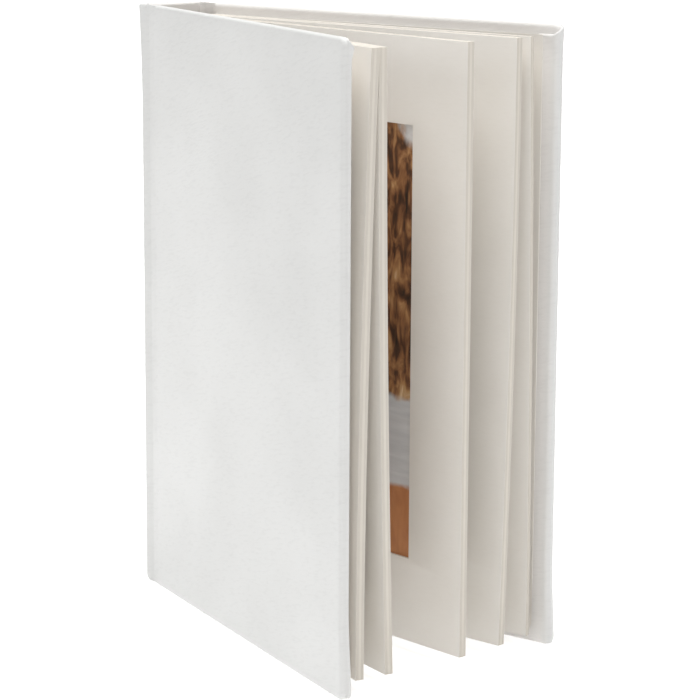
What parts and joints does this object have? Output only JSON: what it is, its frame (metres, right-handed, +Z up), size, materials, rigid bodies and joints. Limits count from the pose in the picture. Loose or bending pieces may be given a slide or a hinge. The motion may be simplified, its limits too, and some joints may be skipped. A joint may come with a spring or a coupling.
{
  "type": "photo album",
  "caption": "Hard-cover photo album standing half open, with leather-wrapped covers on soft joints and matted slip-in leaves that hold prints.",
  "frame": {"origin": "middle of the spine's lower edge, on the surface the album stands on", "axes": "+Z up along the spine, +X from the spine towards the fore-edges, +Y from the front cover to the back cover"},
  "size_m": [0.152, 0.0956, 0.212],
  "materials": {
    "white_leather": "satin grain",
    "grey_board": "matt",
    "ivory_card": "matt",
    "ivory_paper": "matt",
    "ivory_cloth": "fine weave",
    "photo_paper": "semi-gloss"
  },
  "bodies": {
    "spine": {"spine_board": "grey_board", "spine_skin": "white_leather", "spine_lining": "ivory_cloth"},
    "front_joint": {"front_joint_strip": "white_leather"},
    "front_cover": {"front_cover_board": "grey_board", "front_cover_skin": "white_leather", "front_pastedown": "ivory_card"},
    "back_joint": {"back_joint_strip": "white_leather"},
    "back_cover": {"back_cover_board": "grey_board", "back_cover_skin": "white_leather", "back_pastedown": "ivory_card"},
    "front_endleaf": {"front_endleaf_hinge_strip": "ivory_cloth", "front_endleaf_core": "ivory_paper", "front_endleaf_recto_sheet": "ivory_card", "front_endleaf_verso_sheet": "ivory_card"},
    "leaf_1": {"leaf_1_hinge_strip": "ivory_cloth", "leaf_1_core": "ivory_paper", "leaf_1_recto_mat": "ivory_card", "leaf_1_recto_spacer": "ivory_paper", "leaf_1_verso_mat": "ivory_card", "leaf_1_verso_spacer": "ivory_paper"},
    "leaf_2": {"leaf_2_hinge_strip": "ivory_cloth", "leaf_2_core": "ivory_paper", "leaf_2_recto_mat": "ivory_card", "leaf_2_recto_spacer": "ivory_paper", "leaf_2_verso_mat": "ivory_card", "leaf_2_verso_spacer": "ivory_paper"},
    "leaf_3": {"leaf_3_hinge_strip": "ivory_cloth", "leaf_3_core": "ivory_paper", "leaf_3_recto_mat": "ivory_card", "leaf_3_recto_spacer": "ivory_paper", "leaf_3_verso_mat": "ivory_card", "leaf_3_verso_spacer": "ivory_paper"},
    "leaf_4": {"leaf_4_hinge_strip": "ivory_cloth", "leaf_4_core": "ivory_paper", "leaf_4_recto_mat": "ivory_card", "leaf_4_recto_spacer": "ivory_paper", "leaf_4_verso_mat": "ivory_card", "leaf_4_verso_spacer": "ivory_paper"},
    "back_endleaf": {"back_endleaf_hinge_strip": "ivory_cloth", "back_endleaf_core": "ivory_paper", "back_endleaf_recto_sheet": "ivory_card", "back_endleaf_verso_sheet": "ivory_card"},
    "photo_print": {"photo_print": "photo_paper"}
  },
  "joints": [
    {"name": "leaf_1_hinge", "type": "hinge", "parent": "spine", "child": "leaf_1", "pos_m": [0.00226, -0.00495, 0], "axis": [0, 0, -1], "range_deg": [-12.5, 4.66]},
    {"name": "front_endleaf_hinge", "type": "hinge", "parent": "spine", "child": "front_endleaf", "pos_m": [0.00226, -0.00765, 0], "axis": [0, 0, -1], "range_deg": [-13.3, 4.96]},
    {"name": "leaf_2_hinge", "type": "hinge", "parent": "spine", "child": "leaf_2", "pos_m": [0.00226, -0.00165, 0], "axis": [0, 0, -1], "range_deg": [-10.9, 4.07]},
    {"name": "front_joint_fold", "type": "hinge", "parent": "spine", "child": "front_joint", "pos_m": [0.00226, -0.01145, 0], "axis": [0, 0, -1], "range_deg": [-13.4, 5]},
    {"name": "front_cover_fold", "type": "hinge", "parent": "front_joint", "child": "front_cover", "pos_m": [0.00712, -0.01261, 0], "axis": [0, 0, -1], "range_deg": [0, 75]},
    {"name": "leaf_4_hinge", "type": "hinge", "parent": "spine", "child": "leaf_4", "pos_m": [0.00226, 0.00495, 0], "axis": [0, 0, 1], "range_deg": [-9.2, 3.43]},
    {"name": "leaf_3_hinge", "type": "hinge", "parent": "spine", "child": "leaf_3", "pos_m": [0.00226, 0.00165, 0], "axis": [0, 0, 1], "range_deg": [-1.4, 0.52]},
    {"name": "back_endleaf_hinge", "type": "hinge", "parent": "spine", "child": "back_endleaf", "pos_m": [0.00226, 0.00765, 0], "axis": [0, 0, 1], "range_deg": [-12, 4.48]},
    {"name": "back_joint_fold", "type": "hinge", "parent": "spine", "child": "back_joint", "pos_m": [0.00226, 0.01145, 0], "axis": [0, 0, 1], "range_deg": [-13.4, 5]},
    {"name": "back_cover_fold", "type": "hinge", "parent": "back_joint", "child": "back_cover", "pos_m": [0.00712, 0.01261, 0], "axis": [0, 0, 1], "range_deg": [0, 75]},
    {"name": "photo_print_slide", "type": "slide", "parent": "leaf_3", "child": "photo_print", "axis": [0, 0, 1], "range_m": [0, 0.18]}
  ],
  "couplings": [
    {"joint": "front_endleaf_hinge", "follows": "leaf_1_hinge", "ratio": 1.064},
    {"joint": "leaf_2_hinge", "follows": "leaf_1_hinge", "ratio": 0.872},
    {"joint": "front_joint_fold", "follows": "leaf_1_hinge", "ratio": 1.072},
    {"joint": "leaf_3_hinge", "follows": "leaf_4_hinge", "ratio": 0.15217},
    {"joint": "back_endleaf_hinge", "follows": "leaf_4_hinge", "ratio": 1.3043},
    {"joint": "back_joint_fold", "follows": "leaf_4_hinge", "ratio": 1.4565}
  ]
}
